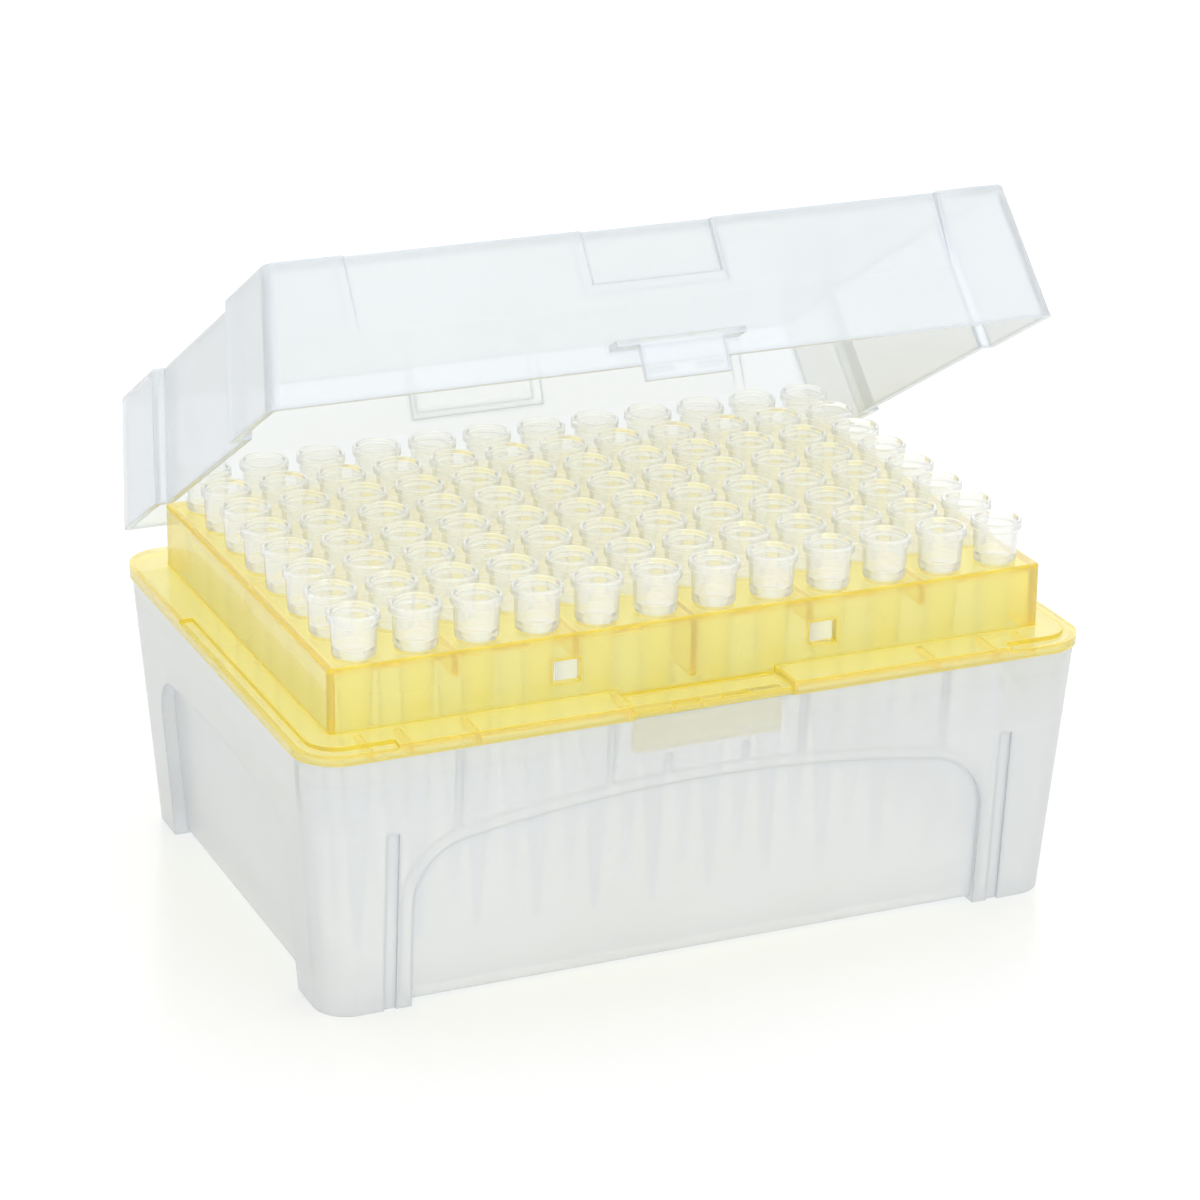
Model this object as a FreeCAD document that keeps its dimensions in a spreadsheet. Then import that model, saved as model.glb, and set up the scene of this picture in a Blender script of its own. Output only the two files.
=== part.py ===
"""Box of pipette tips: a tapered base on four feet, a perforated tray that seats in it, 96 tips that
hang in the tray, and a hinged lid. Millimetres, +Z up, origin on the floor at the middle of the base."""

import FreeCAD, Part
import math
import os
import re

import Sketcher

Vector = FreeCAD.Vector

# Driving dimensions, in mm and degrees. Every other size and place is an expression of these.
SIZES = {
    # tips: a grid on the pitch of a multichannel pipette
    "tip_pitch": 9.0,
    "tip_columns": 12,
    "tip_rows": 8,
    "tip_total": 50.5,
    "collar_stand": 6.4,  # how far a tip stands out of the tray
    "ring_diameter": 7.4,
    "ring_tall": 1.4,
    "collar_diameter": 6.5,
    "shoulder_diameter": 6.2,
    "socket_diameter": 5.5,
    "socket_land": 4.4,  # straight part of the socket that the nozzle grips
    "mouth_chamfer": 0.5,
    "tip_chamfer": 0.2,  # on the outer edges of the ring and collar
    "shank_diameter": 5.2,
    "waist_diameter": 3.5,
    "waist_depth": 30.0,  # below the top of the tip
    "point_diameter": 1.1,
    "tip_wall": 0.45,
    "point_wall": 0.28,
    # tray
    "block_side_margin": 5.3,  # from the outer tips' axes to the block's walls
    "block_front_margin": 4.3,
    "block_corner": 0.8,
    "block_wall": 1.3,
    "block_rise": 9.5,  # above the flange
    "block_round": 0.4,
    "deck_thick": 1.3,
    "hole_clearance": 0.4,  # on the diameter
    "rib_thick": 0.9,
    "short_rib": 2.6,
    "flange_tall": 2.0,
    "flange_thick": 1.1,
    "flange_overhang": 0.35,  # past the base's rim
    "skirt_wall": 1.0,
    "rebate_wide": 2.0,
    "rebate_deep": 0.6,
    "rebate_back_end": 12.5,
    "rebate_reach": 13.35,  # along the front, from the flange's end
    "gusset_inner": 35.2,
    "gusset_middle": 45.0,
    "gusset_outer": 50.8,
    "window_wide": 4.2,
    "window_tall": 3.4,
    "window_centre": 19.8,
    "window_sill": 2.3,  # above the flange
    "notch_margin": 2.4,  # each side of the lid's finger ledge
    "notch_drop": 1.0,
    "notch_setback": 0.5,
    "catch_slot": 0.7,
    "catch_centre": 3.75,
    "catch_clearance": 0.3,
    "tongue_wide": 22.6,
    "tongue_thick": 1.0,
    "tongue_foot": 0.5,  # extra thickness of its lower half
    "tongue_drop": 7.9,  # below the flange's top
    "tongue_step": 4.9,
    "tongue_gap": 0.3,
    # base
    "rim_side_margin": 5.2,  # from the tray's block to the base's rim
    "rim_front_margin": 6.2,
    "rim_corner": 6.15,
    "side_draft": 2.9,  # how far the feet stand in from the rim
    "front_draft": 2.85,
    "foot_corner": 5.0,
    "least_corner": 0.2,  # an inner corner is never sharper
    "base_wall": 1.3,
    "foot_tall": 0.8,
    "floor_thick": 1.3,
    "tip_room": 4.7,  # between the tips' points and the floor
    "front_panel_inset": 1.0,
    "side_panel_inset": 2.1,
    "front_leg": 12.8,  # from the base's end to the arch
    "side_leg": 11.15,
    "arch_depth": 11.0,  # of the arches' crowns below the rim
    "front_arch_radius": 205.0,
    "front_arch_corner": 9.5,
    "side_arch_radius": 240.0,
    "side_arch_corner": 7.5,
    "groove_offset": 3.2,
    "groove_wide": 1.8,
    "groove_deep": 0.5,
    "groove_stop": 0.9,  # below the arches' crowns
    "wall_rib_thick": 0.9,
    "wall_rib_proud": 1.0,
    "wall_rib_root": 0.1,  # sunk into the wall
    "wall_rib_outer": 37.5,
    "wall_rib_inner": 14.8,
    "wall_rib_centre": 6.0,
    # hinge
    "hinge_overhang": 5.05,  # of the axis behind the tray's flange
    "hinge_rise": 0.55,  # of the axis above the base's rim
    "hinge_spread": 64.0,
    "pin_diameter": 3.0,
    "pin_clearance": 0.06,  # on the radius
    "clip_wall": 1.25,
    "clip_wide": 10.0,
    "clip_mouth": 2.5,
    "ear_radius": 2.4,
    "ear_thick": 1.6,
    "ear_gap": 0.3,
    "ear_drop": 7.5,
    "arm_thick": 1.5,
    # lid
    "lid_headroom": 3.3,  # above the tips
    "lid_seat_gap": 0.2,
    "lid_side_step": 0.65,  # of the lid's rim inside the flange's edge
    "lid_front_step": 1.75,
    "lid_rim_corner": 1.8,
    "lid_side_draft": 3.3,
    "lid_front_draft": 0.6,
    "lid_top_corner": 1.6,
    "lid_wall": 1.2,
    "lid_round": 0.6,
    "side_recess_wide": 41.0,
    "side_recess_deep": 1.9,
    "panel_margin": 14.7,  # from the lid's end to the leaning panel
    "panel_start": 8.9,
    "panel_lean": 1.0,
    "thumb_wide": 19.6,
    "thumb_sill": 12.2,
    "thumb_deep": 0.9,
    "ledge_wide": 19.6,
    "ledge_low": 2.3,
    "ledge_thick": 0.9,
    "latch_gap": 0.25,
    "latch_thick": 1.0,
    "latch_wide": 12.8,
    "latch_drop": 2.8,
    "hook_wide": 3.7,
    "hook_proud": 0.45,
    "hook_tall": 0.6,
    "hook_top": 1.0,  # below the rim
    "lid_open": 30.3,  # how far the lid stands open as drawn
}

# Sizes that follow from the driving ones, because pieces fit round or onto each other.
DERIVED = {
    "block_length": "(tip_columns - 1) * tip_pitch + 2 * block_side_margin",
    "block_depth": "(tip_rows - 1) * tip_pitch + 2 * block_front_margin",
    "rim_length": "block_length + 2 * rim_side_margin",
    "rim_depth": "block_depth + 2 * rim_front_margin",
    "foot_length": "rim_length - 2 * side_draft",
    "foot_depth": "rim_depth - 2 * front_draft",
    "flange_length": "rim_length + 2 * flange_overhang",
    "flange_depth": "rim_depth + 2 * flange_overhang",
    "flange_corner": "rim_corner + flange_overhang",
    "lid_rim_length": "flange_length - 2 * lid_side_step",
    "lid_rim_depth": "flange_depth - 2 * lid_front_step",
    "lid_top_length": "lid_rim_length - 2 * lid_side_draft",
    "lid_top_depth": "lid_rim_depth - 2 * lid_front_draft",
    "tip_stand": "foot_tall + floor_thick + tip_room",
    "tip_top": "tip_stand + tip_total",
    "tray_top": "tip_top - collar_stand",
    "flange_top": "tray_top - block_rise",
    "rim_level": "flange_top - flange_tall",
    "arch_crown": "rim_level - arch_depth",
    "groove_tall": "arch_crown - groove_stop",
    "front_arch_wide": "foot_length - 2 * front_leg",
    "side_arch_wide": "foot_depth - 2 * side_leg",
    "groove_centre": "front_arch_wide / 2 + groove_offset",
    "rebate_front_end": "flange_length / 2 - rebate_reach",
    "notch_wide": "ledge_wide + 2 * notch_margin",
    "catch_wide": "hook_wide + catch_clearance",
    "hinge_back": "flange_depth / 2 + hinge_overhang",
    "hinge_level": "rim_level + hinge_rise",
    "lid_rim_level": "flange_top + lid_seat_gap",
    "lid_tall": "tip_top + lid_headroom + lid_wall - lid_rim_level",
    "panel_wide": "lid_rim_length - 2 * panel_margin",
}

ORIGIN_POINT = (-1, 1)  # the sketcher's own origin, as geometry number and point number

doc = FreeCAD.newDocument("PipetteTipBox")
sheet = doc.addObject("Spreadsheet::Sheet", "Sizes")
for row, (alias, value) in enumerate(SIZES.items(), start=1):
    sheet.set(f"A{row}", alias)
    sheet.set(f"B{row}", str(value))
    sheet.setAlias(f"B{row}", alias)
doc.recompute()


# ---- expressions ----


def ref(text):
    """An expression in plain size names, worked back to the driving ones and pointed at the sheet."""

    def from_sheet(match):
        name = match.group()
        return f"({ref(DERIVED[name])})" if name in DERIVED else f"Sizes.{name}"

    return re.sub(r"[a-z]+_[a-z_]+", from_sheet, text)


def value_of(text):
    """The number that such an expression stands for now."""
    return float(sheet.evalExpression(ref(text)))


def bind(thing, **expressions):
    """Bind properties of an object to the sheet. A double underscore stands for a dot."""
    for key, text in expressions.items():
        thing.setExpression(key.replace("__", "."), ref(text))
    return thing


# ---- sketches ----


def pin_point(sketch, geometry, point, x, y):
    """Dimension one sketch point from the origin."""
    for kind, text in (("DistanceX", x), ("DistanceY", y)):
        place = sketch.addConstraint(
            Sketcher.Constraint(kind, *ORIGIN_POINT, geometry, point, value_of(text))
        )
        sketch.setExpression(f"Constraints[{place}]", ref(text))


def outline(sketch, corners):
    """Draw a closed outline through corners (x, y) or (x, y, radius) of expressions.

    A corner with a radius joins one level and one upright side.
    """
    spots = [(value_of(c[0]), value_of(c[1])) for c in corners]
    ends = []  # for each corner, the expressions of the points where its two sides end
    for i, corner in enumerate(corners):
        if len(corner) == 2:
            ends.append([corner, corner])
            continue
        pair = []
        for other in (spots[i - 1], spots[(i + 1) % len(spots)]):
            step_x = (other[0] > spots[i][0]) - (other[0] < spots[i][0])
            step_y = (other[1] > spots[i][1]) - (other[1] < spots[i][1])
            along_x = abs(other[0] - spots[i][0]) > abs(other[1] - spots[i][1])
            x = f"({corner[0]}) + ({step_x if along_x else 0}) * ({corner[2]})"
            y = f"({corner[1]}) + ({0 if along_x else step_y}) * ({corner[2]})"
            pair.append((x, y))
        ends.append(pair)
    lines = []
    for i in range(len(corners)):
        start = ends[i][1]
        end = ends[(i + 1) % len(corners)][0]
        segment = Part.LineSegment(
            Vector(value_of(start[0]), value_of(start[1])), Vector(value_of(end[0]), value_of(end[1]))
        )
        lines.append(sketch.addGeometry(segment, False))
    for i, line in enumerate(lines):
        pin_point(sketch, line, 1, *ends[i][1])
        after = (i + 1) % len(corners)
        if len(corners[after]) == 2:
            sketch.addConstraint(Sketcher.Constraint("Coincident", line, 2, lines[after], 1))
            continue
        pin_point(sketch, line, 2, *ends[after][0])
        start = Vector(*(value_of(text) for text in ends[after][0]))
        end = Vector(*(value_of(text) for text in ends[after][1]))
        round_corner(sketch, line, lines[after], start, end, Vector(*spots[after]))


def round_corner(sketch, line, next_line, start, end, corner):
    """Join two lines with a quarter circle about the point opposite their corner."""
    centre = start + end - corner
    middle = centre + (corner - centre).normalize() * (start - centre).Length
    arc = sketch.addGeometry(Part.Arc(start, middle, end), False)
    turns_left = (start - centre).cross(end - centre).z > 0
    first, last = (1, 2) if turns_left else (2, 1)
    sketch.addConstraint(Sketcher.Constraint("Tangent", line, 2, arc, first))
    sketch.addConstraint(Sketcher.Constraint("Coincident", arc, last, next_line, 1))


def rectangle(x, y, radius=None):
    """Corners of a rectangle from (low, high) pairs of expressions."""
    corners = [(x[0], y[0]), (x[1], y[0]), (x[1], y[1]), (x[0], y[1])]
    return [(*c, radius) for c in corners] if radius else corners


def centred(size):
    return f"-({size}) / 2", f"({size}) / 2"


def about(middle, size):
    return f"({middle}) - ({size}) / 2", f"({middle}) + ({size}) / 2"


def loose_sketch(name, corners, turn=None):
    """A sketch of its own in the plane z = 0, or in the plane that the rotation turn gives."""
    sketch = doc.addObject("Sketcher::SketchObject", name)
    if turn:
        sketch.Placement = FreeCAD.Placement(Vector(), turn)
    outline(sketch, corners)
    return sketch


# ---- solids from primitives ----

FACING_FRONT = FreeCAD.Rotation(Vector(1, 0, 0), 90)  # sketch x, y become x, z
FACING_SIDE = FreeCAD.Rotation(Vector(1, 1, 1), 120)  # sketch x, y become y, z


def box(name, x, y, z):
    solid = doc.addObject("Part::Box", name)
    for size, place, (low, high) in zip(("Length", "Width", "Height"), "xyz", (x, y, z)):
        bind(solid, **{size: f"({high}) - ({low})", f"Placement__Base__{place}": low})
    return solid


def rod(name, radius, x, y="0", z="0"):
    """A cylinder along X between the (low, high) pair x."""
    solid = doc.addObject("Part::Cylinder", name)
    solid.Placement = FreeCAD.Placement(Vector(), FreeCAD.Rotation(Vector(0, 1, 0), 90))
    low, high = x
    bind(solid, Radius=radius, Height=f"({high}) - ({low})")
    return bind(solid, Placement__Base__x=low, Placement__Base__y=y, Placement__Base__z=z)


def prism(name, corners, across):
    """A prism along X over the (low, high) pair across, from corners (y, z)."""
    low, high = across
    solid = doc.addObject("Part::Extrusion", name)
    solid.Base = loose_sketch(f"{name}_outline", corners, FACING_SIDE)
    solid.DirMode = "Normal"
    solid.Solid = True
    return bind(solid, LengthFwd=f"({high}) - ({low})", Placement__Base__x=low)


def drawn_in(radius, inset):
    """A corner radius on a wall's inner face, which shrinks by the wall but never to nothing."""
    return f"max({radius} - ({inset}); least_corner)"


def tapered(name, low, high, middle_y="0"):
    """A block with rounded upright edges. low and high are (length, depth, radius, level)."""
    sections = []
    for place, (length, depth, radius, level) in (("low", low), ("high", high)):
        sketch = loose_sketch(f"{name}_{place}", rectangle(centred(length), centred(depth), radius))
        bind(sketch, Placement__Base__z=level, Placement__Base__y=middle_y)
        sections.append(sketch)
    loft = doc.addObject("Part::Loft", name)
    loft.Sections = sections
    loft.Solid = True
    loft.Ruled = True
    return loft


def fuse(name, *shapes):
    result = doc.addObject("Part::MultiFuse", name)
    result.Shapes = list(shapes)
    return result


def common(name, *shapes):
    result = doc.addObject("Part::MultiCommon", name)
    result.Shapes = list(shapes)
    return result


def cut(name, base, *tools):
    result = doc.addObject("Part::Cut", name)
    result.Base = base
    result.Tool = tools[0] if len(tools) == 1 else fuse(f"{name}_tools", *tools)
    return result


# ---- solids as bodies ----


def new_body(name):
    body = doc.addObject("PartDesign::Body", name)
    body.Label = name
    return body


def origin_part(body, role):
    return next(item for item in body.Origin.OriginFeatures if item.Role == role)


def body_sketch(body, name, outlines, level="0", role="XY_Plane"):
    sketch = body.newObject("Sketcher::SketchObject", name)
    sketch.AttachmentSupport = [(origin_part(body, role), "")]
    sketch.MapMode = "FlatFace"
    bind(sketch, AttachmentOffset__Base__z=level)
    for corners in outlines:
        outline(sketch, corners)
    return sketch


def add_block(body, name, levels, *outlines):
    """Pad outlines that lie clear of each other, from one level to another."""
    low, high = levels
    pad = body.newObject("PartDesign::Pad", name)
    pad.Profile = body_sketch(body, f"{name}_outline", outlines, low)
    return bind(pad, Length=f"({high}) - ({low})")


def cut_block(body, name, levels, *outlines):
    """Pocket outlines that lie clear of each other, from the higher level down to the lower one."""
    low, high = levels
    pocket = body.newObject("PartDesign::Pocket", name)
    pocket.Profile = body_sketch(body, f"{name}_outline", outlines, high)
    return bind(pocket, Length=f"({high}) - ({low})")


def mirrored_pairs(x, size_x, y_span):
    """Four rectangles about x and -x, over y_span at the front and its mirror image at the back."""
    near, far = y_span
    outlines = []
    for side in (-1, 1):
        across = about(f"{side} * {x}", size_x)
        outlines.append(rectangle(across, (f"-({far})", f"-({near})")))
        outlines.append(rectangle(across, (near, far)))
    return outlines


# ---- rounded edges ----


def edges_at(shape, level):
    """The numbers of a shape's edges that lie level at a height."""
    near = 1e-4
    boxes = [(place, edge.BoundBox) for place, edge in enumerate(shape.Edges, start=1)]
    return [place for place, at in boxes if abs(at.ZMin - level) < near and abs(at.ZMax - level) < near]


def round_body(body, name, level, radius):
    """Round the edges of a body's present shape that lie at a level."""
    doc.recompute()
    before = body.Tip
    fillet = body.newObject("PartDesign::Fillet", name)
    fillet.Base = (before, [f"Edge{place}" for place in edges_at(before.Shape, value_of(level))])
    return bind(fillet, Radius=radius)


def round_solid(name, base, level, radius):
    """Round the edges of a solid that lie at a level."""
    doc.recompute()
    fillet = doc.addObject("Part::Fillet", name)
    fillet.Base = base
    size = value_of(radius)
    fillet.Edges = [(place, size, size) for place in edges_at(base.Shape, value_of(level))]
    return fillet


# ---- the tips ----


def make_tip_column(column):
    """One column of tips across the box, as a multichannel pipette takes it."""
    body = new_body(f"tips_column_{column + 1:02d}")
    top = "0"
    shoulder = "-collar_stand"
    point = "-tip_total"
    throat = "-socket_land - mouth_chamfer"
    inner_waist = "waist_diameter / 2 - tip_wall"
    profile = [
        ("socket_diameter / 2 + mouth_chamfer", top),
        ("ring_diameter / 2 - tip_chamfer", top),
        ("ring_diameter / 2", "-tip_chamfer"),
        ("ring_diameter / 2", "tip_chamfer - ring_tall"),
        ("ring_diameter / 2 - tip_chamfer", "-ring_tall"),
        ("collar_diameter / 2", "-ring_tall"),
        ("shoulder_diameter / 2", f"{shoulder} + tip_chamfer"),
        ("shoulder_diameter / 2 - tip_chamfer", shoulder),
        ("shank_diameter / 2", shoulder),
        ("waist_diameter / 2", "-waist_depth"),
        ("point_diameter / 2", point),
        ("point_diameter / 2 - point_wall", point),
        (inner_waist, "-waist_depth"),
        ("shank_diameter / 2 - tip_wall", f"{shoulder} - mouth_chamfer"),
        ("socket_diameter / 2", throat),
        ("socket_diameter / 2", "-mouth_chamfer"),
    ]
    turned = body.newObject("PartDesign::Revolution", f"{body.Name}_turned")
    turned.Profile = body_sketch(body, f"{body.Name}_profile", [profile], role="XZ_Plane")
    turned.ReferenceAxis = (turned.Profile[0], ["V_Axis"])
    turned.Angle = 360
    doc.recompute()
    row = body.newObject("PartDesign::LinearPattern", f"{body.Name}_row")
    row.Originals = [turned]
    row.Direction = (origin_part(body, "Y_Axis"), [""])
    row.Mode = "Spacing"
    bind(row, Offset="tip_pitch", Occurrences="tip_rows")
    body.Tip = row
    bind(
        body,
        Placement__Base__x=f"({column} - (tip_columns - 1) / 2) * tip_pitch",
        Placement__Base__y="-(tip_rows - 1) / 2 * tip_pitch",
        Placement__Base__z="tip_top",
    )
    return body


# ---- the tray ----


def make_tray():
    body = new_body("tip_tray")
    flange = rectangle(centred("flange_length"), centred("flange_depth"), "flange_corner")
    add_block(body, "flange", ("rim_level", "flange_top - rebate_deep"), flange)
    add_block(body, "flange_land", ("flange_top - rebate_deep", "flange_top"), flange_land_outline())
    under = [centred(f"{size} - 2 * skirt_wall") for size in ("flange_length", "flange_depth")]
    under_flange = rectangle(*under, drawn_in("flange_corner", "skirt_wall"))
    plate = "flange_top - flange_thick"
    cut_block(body, "under_flange", ("rim_level", plate), under_flange)
    block = rectangle(centred("block_length"), centred("block_depth"), "block_corner")
    add_block(body, "block", (plate, "tray_top"), block)
    round_body(body, "block_edge", "tray_top", "block_round")
    hollow = [centred(f"{size} - 2 * block_wall") for size in ("block_length", "block_depth")]
    cut_block(body, "under_deck", (plate, "tray_top - deck_thick"), rectangle(*hollow))
    add_deck_ribs(body, hollow)
    add_notch(body)
    web_span = ("block_depth / 2", "flange_depth / 2 - skirt_wall")
    webs = [
        outline
        for place in ("inner", "middle", "outer")
        for outline in mirrored_pairs(f"gusset_{place}", "rib_thick", web_span)
    ]
    add_block(body, "gussets", ("rim_level", plate), *webs)
    add_tongues(body)
    sill = "flange_top + window_sill"
    wall_span = ("block_depth / 2 - 2 * block_wall", "block_depth / 2 + block_wall")
    windows = mirrored_pairs("window_centre", "window_wide", wall_span)
    cut_block(body, "windows", (sill, f"{sill} + window_tall"), *windows)
    cut_tip_holes(body)
    return body


def flange_land_outline():
    """The flange's top, drawn in along its outer edge round both front corners."""
    edge_x, edge_y = "flange_length / 2", "flange_depth / 2"
    in_x, in_y = f"{edge_x} - rebate_wide", f"{edge_y} - rebate_wide"
    inner_corner = drawn_in("flange_corner", "rebate_wide")
    return [
        ("-rebate_front_end", f"-({edge_y})"),
        ("rebate_front_end", f"-({edge_y})"),
        ("rebate_front_end", f"-({in_y})"),
        (in_x, f"-({in_y})", inner_corner),
        (in_x, "rebate_back_end"),
        (edge_x, "rebate_back_end"),
        (edge_x, edge_y, "flange_corner"),
        (f"-({edge_x})", edge_y, "flange_corner"),
        (f"-({edge_x})", "rebate_back_end"),
        (f"-({in_x})", "rebate_back_end"),
        (f"-({in_x})", f"-({in_y})", inner_corner),
        ("-rebate_front_end", f"-({in_y})"),
    ]


def add_deck_ribs(body, hollow):
    """Ribs under the deck, between the rows and columns of tips. The middle one runs full depth."""
    length, depth = hollow
    deck = "tray_top - deck_thick"
    across = [rectangle(about(f"{pitches} * tip_pitch", "rib_thick"), depth) for pitches in (-4, -2, 2, 4)]
    add_block(body, "ribs_across", (f"{deck} - short_rib", deck), *across)
    add_block(body, "rib_lengthwise", (f"{deck} - short_rib", deck), rectangle(length, centred("rib_thick")))
    add_block(body, "middle_rib", ("flange_top", deck), rectangle(centred("rib_thick"), depth))


def add_notch(body):
    """The dip in the front flange where the lid's latch comes down, with its two catch slots."""
    front = "-flange_depth / 2"
    face = f"{front} + notch_setback"
    wall = "-block_depth / 2"
    floor = "flange_top - notch_drop"
    wide = centred("notch_wide")
    solid_ends = centred("notch_wide + 2 * skirt_wall")
    add_block(body, "notch_floor", ("rim_level", floor), rectangle(solid_ends, (face, wall)))
    cut_block(body, "notch", (floor, "flange_top"), rectangle(wide, (f"{front} - skirt_wall", wall)))
    cut_block(body, "notch_face", ("rim_level", floor), rectangle(wide, (f"{front} - skirt_wall", face)))
    across_slot = (f"{face} + catch_slot", f"{face} + 2 * catch_slot")
    slots = [rectangle(about(f"{side} * catch_centre", "catch_wide"), across_slot) for side in (-1, 1)]
    cut_block(body, "catch_slots", ("rim_level", floor), *slots)


def add_tongues(body):
    """Plates that reach down inside the base's front and back walls and centre the tray."""
    foot_level = "(flange_top - tongue_drop)"
    outer = f"rim_depth / 2 - base_wall - {wall_stands_in(foot_level)} - tongue_gap"
    step = "flange_top - tongue_step"
    for part, thick, levels in (
        ("upper", "tongue_thick", (step, "flange_top - flange_thick")),
        ("lower", "tongue_thick + tongue_foot", (foot_level, step)),
    ):
        wide = centred("tongue_wide")
        front = rectangle(wide, (f"-({outer})", f"{thick} - ({outer})"))
        back = rectangle(wide, (f"{outer} - ({thick})", outer))
        add_block(body, f"tongues_{part}", levels, front, back)


def cut_tip_holes(body):
    sketch = body_sketch(body, "tip_hole_outline", [], "tray_top")
    middle = ("-(tip_columns - 1) / 2 * tip_pitch", "-(tip_rows - 1) / 2 * tip_pitch")
    radius = "(shank_diameter + hole_clearance) / 2"
    circle = Part.Circle(Vector(*(value_of(text) for text in middle)), Vector(0, 0, 1), value_of(radius))
    hole = sketch.addGeometry(circle, False)
    pin_point(sketch, hole, 3, *middle)
    size = sketch.addConstraint(Sketcher.Constraint("Radius", hole, value_of(radius)))
    sketch.setExpression(f"Constraints[{size}]", ref(radius))
    pocket = body.newObject("PartDesign::Pocket", "tip_hole")
    pocket.Profile = sketch
    bind(pocket, Length="deck_thick")
    doc.recompute()
    grid = body.newObject("PartDesign::MultiTransform", "tip_holes")
    grid.Originals = [pocket]
    directions = []
    for axis, count in (("X_Axis", "tip_columns"), ("Y_Axis", "tip_rows")):
        direction = body.newObject("PartDesign::LinearPattern", f"holes_{axis}")
        direction.Direction = (origin_part(body, axis), [""])
        direction.Mode = "Spacing"
        directions.append(bind(direction, Offset="tip_pitch", Occurrences=count))
    grid.Transformations = directions
    body.Tip = grid


# ---- the base ----


def base_block(name, side_inset, front_inset):
    """The base's tapered block, drawn in from its sides and from its front and back."""

    def section(place, level):
        length = f"{place}_length - 2 * ({side_inset})"
        depth = f"{place}_depth - 2 * ({front_inset})"
        return length, depth, drawn_in(f"{place}_corner", front_inset), level

    return tapered(name, section("foot", "0"), section("rim", "rim_level"))


def base_slab(name, low):
    """A slab wider than the base, from a level up to the rim."""
    return box(name, centred("2 * rim_length"), centred("2 * rim_depth"), (low, "rim_level"))


def wall_stands_in(level):
    """How far the base's front and back walls stand in from the rim at a level."""
    return f"front_draft * (rim_level - ({level})) / rim_level"


def arch(name, face, turn, grow):
    """An arch right through the base: upright sides, a shallow crown and round shoulders."""
    half = f"{face}_arch_wide / 2 + {grow}"
    radius = f"{face}_arch_radius + {grow}"
    corner = f"{face}_arch_corner + {grow}"
    centre_level = f"arch_crown - {face}_arch_radius"
    foot = value_of("-foot_tall")
    w, big, small, low = (value_of(text) for text in (half, radius, corner, centre_level))
    shoulder = low + math.sqrt((big - small) ** 2 - (w - small) ** 2)
    lean = math.atan2(shoulder - low, w - small)
    sketch = doc.addObject("Sketcher::SketchObject", f"{name}_outline")
    sketch.Placement = FreeCAD.Placement(Vector(), turn)
    sill = sketch.addGeometry(Part.LineSegment(Vector(-w, foot), Vector(w, foot)), False)
    right = sketch.addGeometry(Part.LineSegment(Vector(w, foot), Vector(w, shoulder)), False)
    arcs = []
    for x, y, r, start, end in (
        (w - small, shoulder, small, 0, lean),
        (0, low, big, lean, math.pi - lean),
        (small - w, shoulder, small, math.pi - lean, math.pi),
    ):
        circle = Part.Circle(Vector(x, y), Vector(0, 0, 1), r)
        arcs.append(sketch.addGeometry(Part.ArcOfCircle(circle, start, end), False))
    left = sketch.addGeometry(Part.LineSegment(Vector(-w, shoulder), Vector(-w, foot)), False)
    sketch.addConstraint(Sketcher.Constraint("Coincident", sill, 2, right, 1))
    sketch.addConstraint(Sketcher.Constraint("Coincident", left, 2, sill, 1))
    for first, after in ((right, arcs[0]), (arcs[0], arcs[1]), (arcs[1], arcs[2]), (arcs[2], left)):
        sketch.addConstraint(Sketcher.Constraint("Tangent", first, 2, after, 1))
    sketch.addConstraint(Sketcher.Constraint("Vertical", right))
    sketch.addConstraint(Sketcher.Constraint("Vertical", left))
    pin_point(sketch, sill, 1, f"-({half})", "-foot_tall")
    pin_point(sketch, sill, 2, half, "-foot_tall")
    pin_point(sketch, arcs[1], 3, "0", centre_level)
    for arc, text in ((arcs[0], corner), (arcs[1], radius), (arcs[2], corner)):
        size = sketch.addConstraint(Sketcher.Constraint("Radius", arc, value_of(text)))
        sketch.setExpression(f"Constraints[{size}]", ref(text))
    solid = doc.addObject("Part::Extrusion", name)
    solid.Base = sketch
    solid.DirMode = "Normal"
    solid.Symmetric = True
    solid.Solid = True
    return bind(solid, LengthFwd="2 * rim_length")


def base_form(name, inset, level):
    """The base's outside, or its inside when drawn in by a wall: corner legs and arched panels."""
    arches = fuse(
        f"{name}_arches",
        arch(f"{name}_front_arch", "front", FACING_FRONT, inset),
        arch(f"{name}_side_arch", "side", FACING_SIDE, inset),
    )
    legs = cut(f"{name}_legs", base_block(f"{name}_block", inset, inset), arches)
    panel_insets = (f"{inset} + side_panel_inset", f"{inset} + front_panel_inset")
    panel_block = base_block(f"{name}_panel_block", *panel_insets)
    return fuse(name, legs, common(f"{name}_panels", panel_block, base_slab(f"{name}_above", level)))


def make_base():
    floor_top = "foot_tall + floor_thick"
    outside = base_form("base_outside", "0", "foot_tall")
    inside = base_form("base_inside", "base_wall", floor_top)
    inside = common("base_cavity", inside, base_slab("above_floor", floor_top))
    shell = cut("base_shell", outside, inside, corner_grooves())
    base = fuse("base", shell, wall_ribs(), *[hinge_bracket(side) for side in (-1, 1)])
    base.Label = "base"
    return base


def corner_grooves():
    """Shallow upright grooves beside each leg, front and back."""
    strips = [
        box(
            f"groove_strip_{side + 1}",
            about(f"{side} * groove_centre", "groove_wide"),
            centred("2 * rim_depth"),
            ("-foot_tall", "groove_tall"),
        )
        for side in (-1, 1)
    ]
    return cut("grooves", fuse("groove_strips", *strips), base_block("groove_core", "0", "groove_deep"))


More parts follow.
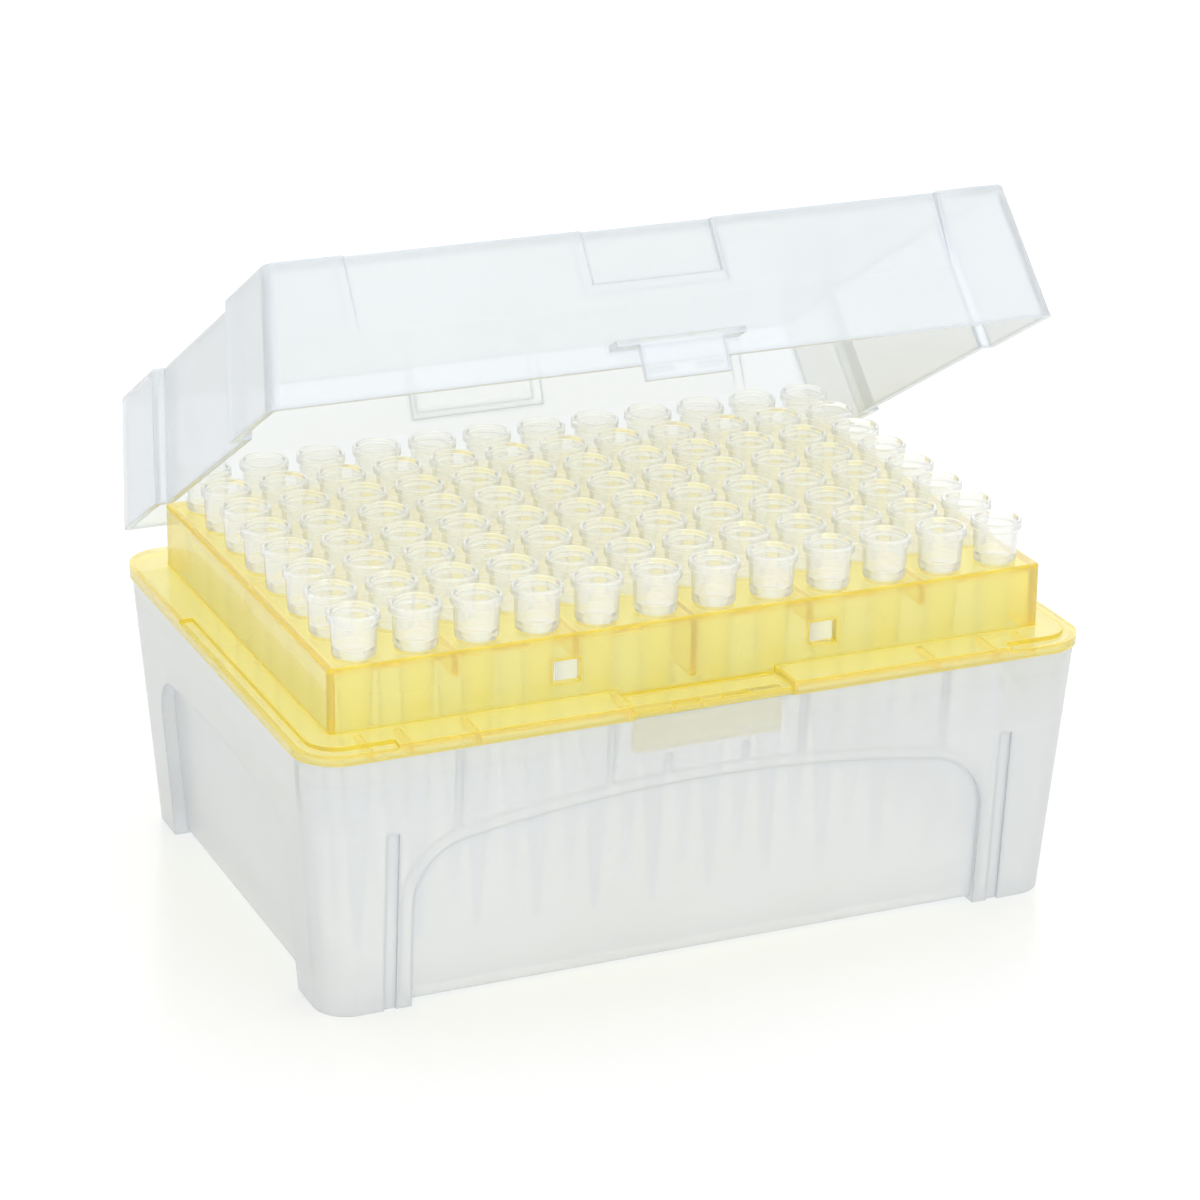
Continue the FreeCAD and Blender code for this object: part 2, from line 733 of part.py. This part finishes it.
def wall_ribs():
    """Upright ribs inside the front and back walls. The middle pair starts under the tray's tongue."""
    strips = []
    tongue_foot_level = "flange_top - tongue_drop"
    for place, top in (("outer", "rim_level"), ("inner", "rim_level"), ("centre", tongue_foot_level)):
        for side in (-1, 1):
            strips.append(
                box(
                    f"wall_rib_{place}_{side + 1}",
                    about(f"{side} * wall_rib_{place}", "wall_rib_thick"),
                    centred("2 * rim_depth"),
                    ("arch_crown - front_arch_corner", f"{top} - wall_rib_thick"),
                )
            )
    root, crest = "base_wall - wall_rib_root", "base_wall + wall_rib_proud"
    band = cut(
        "wall_rib_band",
        base_block("wall_rib_roots", root, root),
        base_block("wall_rib_crests", crest, crest),
    )
    return common("wall_ribs", fuse("wall_rib_strips", *strips), band)


def hinge_bracket(side):
    """Two ears on the back wall with the pin that a lid clip snaps onto."""
    middle = f"{side} * hinge_spread / 2"
    ear_top = "rim_level - ear_gap"
    ear_foot = f"{ear_top} - ear_drop"
    in_wall = [
        (f"rim_depth / 2 - base_wall / 2 - {wall_stands_in(level)}", level) for level in (ear_foot, ear_top)
    ]
    pieces = []
    for ear in (-1, 1):
        centre = f"{middle} + {ear} * (clip_wide / 2 + ear_gap + ear_thick / 2)"
        across = about(centre, "ear_thick")
        name = f"ear_{side + 1}_{ear + 1}"
        at_pin = [("hinge_back", "hinge_level - ear_radius"), ("hinge_back", ear_top)]
        pieces.append(prism(f"{name}_plate", [in_wall[0], *at_pin, in_wall[1]], across))
        pieces.append(rod(f"{name}_eye", "ear_radius", across, "hinge_back", "hinge_level"))
    span = about(middle, "clip_wide + 2 * ear_gap + ear_thick")
    pieces.append(rod(f"pin_{side + 1}", "pin_diameter / 2", span, "hinge_back", "hinge_level"))
    return fuse(f"hinge_bracket_{side + 1}", *pieces)


# ---- the lid, in a frame of its own: X along the hinge, closed pose ----

LID_MIDDLE = "-hinge_back"
LID_RIM = "lid_rim_level - hinge_level"
LID_TOP = f"{LID_RIM} + lid_tall"


def lid_half(what, height):
    """Half the lid's length or depth at a height above its rim."""
    return f"(lid_rim_{what} + (lid_top_{what} - lid_rim_{what}) * ({height}) / lid_tall) / 2"


def lid_form(name, inset):
    """The lid's outside, or its inside when drawn in by a wall, with every recess of its walls."""

    def section(place, level):
        length = f"lid_{place}_length - 2 * ({inset})"
        depth = f"lid_{place}_depth - 2 * ({inset})"
        return length, depth, drawn_in(f"lid_{place}_corner", inset), level

    block = tapered(f"{name}_block", section("rim", LID_RIM), section("top", LID_TOP), LID_MIDDLE)
    panel = ("panel_wide", "panel_start", "0")
    thumb = ("thumb_wide", f"thumb_sill - ({inset})", "thumb_deep")
    recesses = []
    for face in (-1, 1):
        recesses.append(lid_face_recess(f"{name}_panel_{face + 1}", face, inset, *panel))
        recesses.append(lid_face_recess(f"{name}_thumb_{face + 1}", face, inset, *thumb))
        recesses.append(lid_side_recess(f"{name}_side_{face + 1}", face, inset))
    return cut(name, block, *recesses)


def lid_face_recess(name, face, inset, wide, start, deep):
    """What leans the front or back wall inwards above a height: a prism outside the leaning plane."""
    lean_at_start = f"panel_lean * (({start}) - panel_start) / (lid_tall - panel_start)"
    at_start = f"{lid_half('depth', start)} - {inset} - ({deep}) - ({lean_at_start})"
    at_top = f"{lid_half('depth', 'lid_tall')} - {inset} - ({deep}) - panel_lean"
    far = "lid_rim_depth / 2 + lid_wall"
    low = f"{LID_RIM} + {start}"
    corners = [
        (f"{LID_MIDDLE} + {face} * ({at_start})", low),
        (f"{LID_MIDDLE} + {face} * ({at_top})", LID_TOP),
        (f"{LID_MIDDLE} + {face} * ({far})", LID_TOP),
        (f"{LID_MIDDLE} + {face} * ({far})", low),
    ]
    return prism(name, corners, centred(f"{wide} + 2 * ({inset})"))


def lid_side_recess(name, face, inset):
    """What sets the middle of an end wall in, over the lid's full height."""
    in_low = f"{lid_half('length', '0')} - {inset} - side_recess_deep"
    in_top = f"{lid_half('length', 'lid_tall')} - {inset} - side_recess_deep"
    far = "lid_rim_length / 2 + lid_wall"
    corners = [
        (f"{face} * ({in_low})", LID_RIM),
        (f"{face} * ({in_top})", LID_TOP),
        (f"{face} * ({far})", LID_TOP),
        (f"{face} * ({far})", LID_RIM),
    ]
    solid = doc.addObject("Part::Extrusion", name)
    solid.Base = loose_sketch(f"{name}_outline", corners, FACING_FRONT)
    solid.DirMode = "Normal"
    solid.Symmetric = True
    solid.Solid = True
    return bind(solid, LengthFwd=f"side_recess_wide + 2 * ({inset})", Placement__Base__y=LID_MIDDLE)


def make_lid():
    outside = lid_form("lid_outside", "0")
    under_top = (LID_RIM, f"{LID_TOP} - lid_wall")
    room = box("lid_room", centred("lid_rim_length"), about(LID_MIDDLE, "lid_rim_depth"), under_top)
    inside = common("lid_cavity", lid_form("lid_inside", "lid_wall"), room)
    shell = cut("lid_shell", round_solid("lid_softened", outside, LID_TOP, "lid_round"), inside)
    clips = [hinge_clip(side) for side in (-1, 1)]
    lid = fuse("lid", shell, latch(), *clips)
    lid.Label = "lid"
    lid.Placement = FreeCAD.Placement(Vector(), FreeCAD.Rotation(Vector(-1, 0, 0), value_of("lid_open")))
    return bind(
        lid,
        Placement__Rotation__Angle="lid_open",
        Placement__Base__y="hinge_back",
        Placement__Base__z="hinge_level",
    )


def latch():
    """The finger ledge on the lid's front wall and the tab below it, with two hooks facing the tray."""
    tab_back = f"{LID_MIDDLE} - flange_depth / 2 - latch_gap"
    tab_front = f"{tab_back} - latch_thick"
    in_wall = f"{LID_MIDDLE} - lid_rim_depth / 2 + lid_wall / 2"
    ledge_foot = f"{LID_RIM} + ledge_low"
    ledge_levels = (ledge_foot, f"{ledge_foot} + ledge_thick")
    hook_high = f"{LID_RIM} - hook_top"
    pieces = [
        box("ledge", centred("ledge_wide"), (tab_front, in_wall), ledge_levels),
        box("tab", centred("latch_wide"), (tab_front, tab_back), (f"{LID_RIM} - latch_drop", ledge_foot)),
    ]
    for side in (-1, 1):
        across = about(f"{side} * catch_centre", "hook_wide")
        reach = (tab_back, f"{tab_back} + hook_proud")
        pieces.append(box(f"hook_{side + 1}", across, reach, (f"{hook_high} - hook_tall", hook_high)))
    return fuse("latch", *pieces)


def hinge_clip(side):
    """An open ring round the hinge pin, on an arm from the lid's back wall over the tray's flange."""
    middle = f"{side} * hinge_spread / 2"
    across = about(middle, "clip_wide")
    bore = "pin_diameter / 2 + pin_clearance"
    arm_low = "flange_top + ear_gap - hinge_level"
    in_wall = f"{LID_MIDDLE} + lid_rim_depth / 2 - lid_wall / 2"
    ring = rod(f"clip_ring_{side + 1}", f"{bore} + clip_wall", across)
    arm = box(f"clip_arm_{side + 1}", across, (in_wall, "0"), (arm_low, f"{arm_low} + arm_thick"))
    hole = rod(f"clip_bore_{side + 1}", bore, about(middle, "2 * clip_wide"))
    mouth = box(
        f"clip_mouth_{side + 1}",
        about(middle, "2 * clip_wide"),
        centred("clip_mouth"),
        (f"-({bore} + 2 * clip_wall)", "0"),
    )
    return cut(f"hinge_clip_{side + 1}", fuse(f"clip_{side + 1}", ring, arm), hole, mouth)


# ---- build, check and write ----

pieces = [make_base(), make_tray(), make_lid()]
pieces += [make_tip_column(column) for column in range(round(value_of("tip_columns")))]
doc.recompute()

for item in doc.Objects:
    failed = {"Invalid", "Error"} & set(item.State)
    if failed:
        raise RuntimeError(f"{item.Name} is {', '.join(item.State)}")
for piece in pieces:
    if piece.Shape.isNull() or not piece.Shape.isValid() or not piece.Shape.Solids:
        raise RuntimeError(f"{piece.Label} has no valid solid")

os.makedirs("parts", exist_ok=True)
for piece in pieces:
    piece.Shape.exportStep(os.path.join("parts", f"{piece.Label}.step"))
    size = piece.Shape.BoundBox
    print(
        f"{piece.Label}: {len(piece.Shape.Solids)} solid(s), {piece.Shape.Volume / 1000:.2f} cm3,"
        f" {size.XLength:.1f} x {size.YLength:.1f} x {size.ZLength:.1f} mm"
    )
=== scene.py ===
"""Looks of the pipette tip box: four translucent plastics, a pale floor, soft lights and the camera."""

import math

import bpy
from mathutils import Matrix, Vector


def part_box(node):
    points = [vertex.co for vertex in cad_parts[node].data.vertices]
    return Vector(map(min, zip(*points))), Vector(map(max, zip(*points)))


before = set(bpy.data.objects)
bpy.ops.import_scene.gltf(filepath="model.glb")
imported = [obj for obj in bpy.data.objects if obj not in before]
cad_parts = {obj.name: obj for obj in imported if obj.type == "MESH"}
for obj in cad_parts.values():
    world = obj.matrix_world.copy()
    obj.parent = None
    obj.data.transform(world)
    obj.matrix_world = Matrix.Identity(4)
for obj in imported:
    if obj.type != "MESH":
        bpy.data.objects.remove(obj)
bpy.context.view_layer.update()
scene = bpy.context.scene
scene.view_settings.view_transform = "Standard"

# The places of the factor, the first and the second input on Blender's Mix node
NUMBER_INPUTS = (0, 2, 3)
COLOUR_INPUTS = (0, 6, 7)
COLOUR_OUTPUT = 2

# An edge is found by the cosine between its bevelled and its true normal, which is 1 on a flat face; the
# plastic is painted with shade there
BEVEL_SAMPLES = 2
EDGE_START = 0.999
EDGE_FULL = 0.96

SHEEN_IOR = 1.45
GRAIN_SCALE = 1800.0
GRAIN_STRENGTH = 0.5


# ---- node helpers ----


class Tree:
    """A node tree whose inputs are given as constants or as other nodes' outputs."""

    def __init__(self, owner):
        owner.use_nodes = True
        self.tree = owner.node_tree
        self.tree.nodes.clear()

    def add(self, kind, **settings):
        node = self.tree.nodes.new("ShaderNode" + kind)
        for key, value in settings.items():
            setattr(node, key, value)
        return node

    def feed(self, socket, value):
        if isinstance(value, bpy.types.NodeSocket):
            self.tree.links.new(value, socket)
        else:
            socket.default_value = value

    def put(self, kind, **inputs):
        """A new node with inputs fed by name, where an underscore stands for a space."""
        node = self.add(kind)
        for key, value in inputs.items():
            self.feed(node.inputs[key.replace("_", " ")], value)
        return node

    def mix(self, share, first, second):
        """A mix of two shader nodes or their outputs: share of the second one."""
        node = self.add("MixShader")
        self.feed(node.inputs[0], share)
        for socket, shader in zip(node.inputs[1:], (first, second)):
            self.feed(socket, shader.outputs[0] if isinstance(shader, bpy.types.Node) else shader)
        return node.outputs[0]

    def math(self, operation, first, second):
        node = self.add("Math", operation=operation)
        self.feed(node.inputs[0], first)
        self.feed(node.inputs[1], second)
        return node.outputs[0]

    def any_ray(self, *kinds):
        """1 for a ray of one of the kinds that Light Path names, otherwise 0."""
        path = self.add("LightPath")
        found = path.outputs[kinds[0]]
        for kind in kinds[1:]:
            found = self.math("MAXIMUM", found, path.outputs[kind])
        return found

    def noise(self, scale, detail):
        """Noise in the object's own metres, as a number from 0 to 1."""
        place = self.add("TexCoord").outputs["Object"]
        return self.put("TexNoise", Vector=place, Scale=scale, Detail=detail).outputs["Fac"]

    def remap(self, number, source, target):
        """The number taken from the range source to the range target, and kept in it."""
        node = self.put("MapRange", Value=number, From_Min=source[0], From_Max=source[1])
        self.feed(node.inputs["To Min"], target[0])
        self.feed(node.inputs["To Max"], target[1])
        return node.outputs["Result"]

    def between(self, share, pair):
        """A number that goes from the pair's first to its second as share goes from 0 to 1."""
        return self.remap(share, (0.0, 1.0), pair)

    def blend(self, share, first, second):
        """A mix of two numbers: share of the second one."""
        node = self.add("Mix")
        for place, value in zip(NUMBER_INPUTS, (share, first, second)):
            self.feed(node.inputs[place], value)
        return node.outputs[0]

    def tint(self, share, first, second):
        """A mix of two colours: share of the second one. A constant has three values."""
        node = self.add("Mix", data_type="RGBA")
        for place, value in zip(COLOUR_INPUTS, (share, first, second)):
            self.feed(node.inputs[place], (*value, 1.0) if isinstance(value, tuple) else value)
        return node.outputs[COLOUR_OUTPUT]

    def less_above(self, number, low, high, less):
        """The number, with less taken off above the height high and nothing below low."""
        split = self.put("SeparateXYZ", Vector=self.add("TexCoord").outputs["Object"])
        return self.math("SUBTRACT", number, self.remap(split.outputs["Z"], (low, high), (0.0, less)))

    def edges(self, radius):
        """A number that is 0 on faces and rises to 1 at the solid's edges, within radius of them."""
        rounded = self.add("Bevel", samples=BEVEL_SAMPLES)
        self.feed(rounded.inputs["Radius"], radius)
        turn = self.add("VectorMath", operation="DOT_PRODUCT")
        self.feed(turn.inputs[0], rounded.outputs[0])
        self.feed(turn.inputs[1], self.add("NewGeometry").outputs["Normal"])
        return self.remap(turn.outputs["Value"], (EDGE_START, EDGE_FULL), (0.0, 1.0))


def plastic(
    name, clear, milk, haze, rough, cloud, through, ior, blur, edge_shade,
    rise=None, soak=None, grain=None, back_lit=0.0,
):
    """Translucent moulded plastic, which lets light straight through and scatters a share of it, with
    shade painted along its edges.

    clear, milk, haze and rough are pairs that the mottling runs between: the colour of what passes,
    the colour and the share of what is scattered, and the roughness of the sheen.
    cloud: the mottling's scale.
    through: the colour that the room's light keeps at each surface on its way in.
    ior, blur: how far a view through the wall is bent and blurred.
    rim: the painted shade along the edges: how near an edge it reaches, and the darker colour and the
    share of what is scattered there.
    rise: the heights between which the haze thins, and by how much.
    soak: the colour and density of the absorption inside the wall.
    grain: the height of the moulded grain in metres.
    back_lit: the share of what is scattered that comes from behind the surface.
    """
    material = bpy.data.materials.new(name)
    t = Tree(material)
    mottle = t.noise(cloud, detail=1.0)
    white = t.tint(mottle, *milk)
    share = t.between(mottle, haze)
    if rise:
        share = t.less_above(share, **rise)
    # Painted shade: near every edge the scattered colour turns darker and its share rises, standing in
    # for the dark lines that refraction draws there
    edge = t.edges(edge_shade["radius"])
    white = t.tint(edge, white, edge_shade["colour"])
    share = t.blend(edge, share, edge_shade["share"])

    glass = t.put("BsdfGlass", Color=t.tint(mottle, *clear), Roughness=blur, IOR=ior)
    scattered = t.mix(back_lit, t.put("BsdfDiffuse", Color=white), t.put("BsdfTranslucent", Color=white))
    shine = t.put("BsdfGlossy", Roughness=t.between(mottle, rough))
    if grain:
        height = t.noise(GRAIN_SCALE, detail=0.0)
        bump = t.put("Bump", Height=height, Distance=grain, Strength=GRAIN_STRENGTH)
        t.feed(shine.inputs["Normal"], bump.outputs["Normal"])
    outside = t.math("SUBTRACT", 1.0, t.add("NewGeometry").outputs["Backfacing"])
    sheen = t.math("MULTIPLY", t.put("Fresnel", IOR=SHEEN_IOR).outputs[0], outside)
    seen = t.mix(sheen, t.mix(share, glass, scattered), shine)

    # The room's light goes on through the walls to what lies behind them
    straight = t.put("BsdfTransparent", Color=(*through, 1.0))
    surface = t.mix(t.any_ray("Is Shadow Ray", "Is Diffuse Ray"), seen, straight)
    out = t.put("OutputMaterial", Surface=surface)
    if soak:
        volume = t.put("VolumeAbsorption", Color=(*soak["colour"], 1.0), Density=soak["density"])
        t.feed(out.inputs["Volume"], volume.outputs[0])
    return material


# In each plastic below, the colour given for its edges is painted shade
BASE = plastic(
    "base_frosted",
    clear=((0.955, 0.96, 0.945), (0.97, 0.975, 0.965)),
    milk=((0.775, 0.785, 0.765), (0.815, 0.825, 0.81)),
    haze=(0.60, 0.66),
    rough=(0.28, 0.36),
    cloud=45.0,
    through=(0.87, 0.885, 0.955),
    ior=1.3,
    blur=0.13,
    edge_shade={"radius": 0.0008, "colour": (0.56, 0.59, 0.59), "share": 0.85},
    rise={"low": 0.028, "high": 0.036, "less": 0.24},
    grain=0.00002,
    back_lit=0.1,
)
LID = plastic(
    "lid_frosted",
    clear=((0.975, 0.98, 0.985), (0.985, 0.99, 0.99)),
    milk=((0.79, 0.82, 0.85), (0.83, 0.86, 0.89)),
    haze=(0.38, 0.44),
    rough=(0.16, 0.24),
    cloud=40.0,
    through=(0.97, 0.975, 0.98),
    ior=1.12,
    blur=0.05,
    edge_shade={"radius": 0.0008, "colour": (0.58, 0.63, 0.68), "share": 0.8},
)
TRAY = plastic(
    "tray_yellow",
    clear=((1.0, 0.985, 0.80), (1.0, 0.99, 0.85)),
    milk=((0.96, 0.90, 0.54), (0.98, 0.92, 0.60)),
    haze=(0.27, 0.31),
    rough=(0.22, 0.30),
    cloud=60.0,
    through=(0.98, 0.98, 0.97),
    ior=1.3,
    blur=0.03,
    edge_shade={"radius": 0.0009, "colour": (0.93, 0.72, 0.06), "share": 0.7},
    soak={"colour": (1.0, 0.93, 0.0), "density": 450.0},
    back_lit=0.2,
)
TIPS = plastic(
    "tip_clear",
    clear=((0.99, 0.99, 0.985), (0.995, 0.998, 0.995)),
    milk=((0.92, 0.93, 0.92), (0.95, 0.96, 0.95)),
    haze=(0.45, 0.50),
    rough=(0.05, 0.12),
    cloud=120.0,
    through=(0.97, 0.975, 0.97),
    ior=1.3,
    blur=0.02,
    edge_shade={"radius": 0.0003, "colour": (0.90, 0.92, 0.92), "share": 0.6},
    rise={"low": 0.047, "high": 0.0515, "less": 0.24},
)

for name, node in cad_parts.items():
    finish = {"base": BASE, "lid": LID, "tip_tray": TRAY}.get(name, TIPS)
    for slot in node.material_slots:
        slot.material = finish
    if finish is TIPS:
        # The tips are too clear to keep the room's light from each other and from the deck
        node.visible_shadow = False
        node.visible_diffuse = False

# ---- floor ----

FLOOR_SIZE = 6.0
bpy.ops.mesh.primitive_plane_add(size=FLOOR_SIZE)
floor = bpy.context.object
floor.name = "floor"
floor_paint = bpy.data.materials.new("floor_pale")
t = Tree(floor_paint)
dust = t.noise(scale=9.0, detail=4.0)
pale = t.put(
    "BsdfPrincipled",
    Base_Color=t.tint(dust, (0.90, 0.90, 0.90), (0.94, 0.94, 0.94)),
    Roughness=t.between(dust, (0.16, 0.24)),
    IOR=1.4,
)
t.put("OutputMaterial", Surface=pale.outputs[0])
floor.data.materials.append(floor_paint)

# ---- lights and background ----

BOX_MIDDLE = Vector((0.0, 0.0, 0.04))
UP = Vector((0.0, 0.0, 1.0))


def soft_light(name, place, size, brightness, facing=None):
    """An area light, which faces the box if facing is None.

    A brightness of 1 is as bright as white paper in the room.
    """
    data = bpy.data.lights.new(name, "AREA")
    data.shape = "RECTANGLE"
    data.size, data.size_y = size
    data.energy = brightness * math.pi * size[0] * size[1]
    light = bpy.data.objects.new(name, data)
    scene.collection.objects.link(light)
    light.location = place
    if facing is None:
        facing = BOX_MIDDLE - Vector(place)
    light.rotation_euler = facing.to_track_quat("-Z", "Y").to_euler()
    return light


soft_light("light_top", (0.1, 0.1, 1.1), (1.2, 1.0), 1.1)
soft_light("light_front", (-0.4, -1.2, 0.8), (1.0, 0.8), 2.1)
soft_light("light_back", (0.35, 1.1, 0.6), (1.4, 0.8), 0.5)

# Two weak lights just under the tips' points stand in for what the base's frosted walls spread inside
INNER_SIZE = (0.102, 0.068)
INNER_BRIGHTNESS = 0.6
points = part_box("tips_column_01")[0].z
for name, below, facing in (("light_in_up", 0.001, UP), ("light_in_down", 0.0015, -UP)):
    inner = soft_light(name, (0.0, 0.0, points - below), INNER_SIZE, INNER_BRIGHTNESS, facing)
    inner.visible_camera = False
    inner.visible_glossy = False
    inner.visible_transmission = False

# The background is white to the eye and through the plastic, and the room's light is weaker
world = bpy.data.worlds.new("studio")
scene.world = world
t = Tree(world)
white = t.put("Background", Color=(1.0, 1.0, 1.0, 1.0), Strength=1.0)
room = t.put("Background", Color=(0.98, 0.99, 1.0, 1.0), Strength=0.80)
shown = t.any_ray("Is Camera Ray", "Is Glossy Ray", "Is Transmission Ray")
t.put("OutputWorld", Surface=t.mix(shown, room, white))

# ---- camera ----

# The photo's camera, as fitted to the tips' grid: in metres, with the sensor and lens in millimetres
AZIMUTH, ELEVATION, ROLL = (math.radians(angle) for angle in (-23.78, 21.17, 0.70))
TARGET = Vector((0.0, 0.0, 0.05733))
DISTANCE = 0.58496
SHIFT_RIGHT = 0.00061
SHIFT_UP = -0.0159
SENSOR_WIDTH = 36.0
FOCAL_LENGTH = 119.54
NEAREST = 0.02

back = Vector(
    (
        math.sin(AZIMUTH) * math.cos(ELEVATION),
        -math.cos(AZIMUTH) * math.cos(ELEVATION),
        math.sin(ELEVATION),
    )
)
right = UP.cross(back).normalized()
up = back.cross(right)
right, up = (
    math.cos(ROLL) * right + math.sin(ROLL) * up,
    math.cos(ROLL) * up - math.sin(ROLL) * right,
)
camera_data = bpy.data.cameras.new("camera")
camera_data.sensor_width = SENSOR_WIDTH
camera_data.lens = FOCAL_LENGTH
camera_data.clip_start = NEAREST
camera = bpy.data.objects.new("camera", camera_data)
scene.collection.objects.link(camera)
place = TARGET + SHIFT_RIGHT * right + SHIFT_UP * up + DISTANCE * back
camera.matrix_world = Matrix.Translation(place) @ Matrix((right, up, back)).transposed().to_4x4()
scene.camera = camera
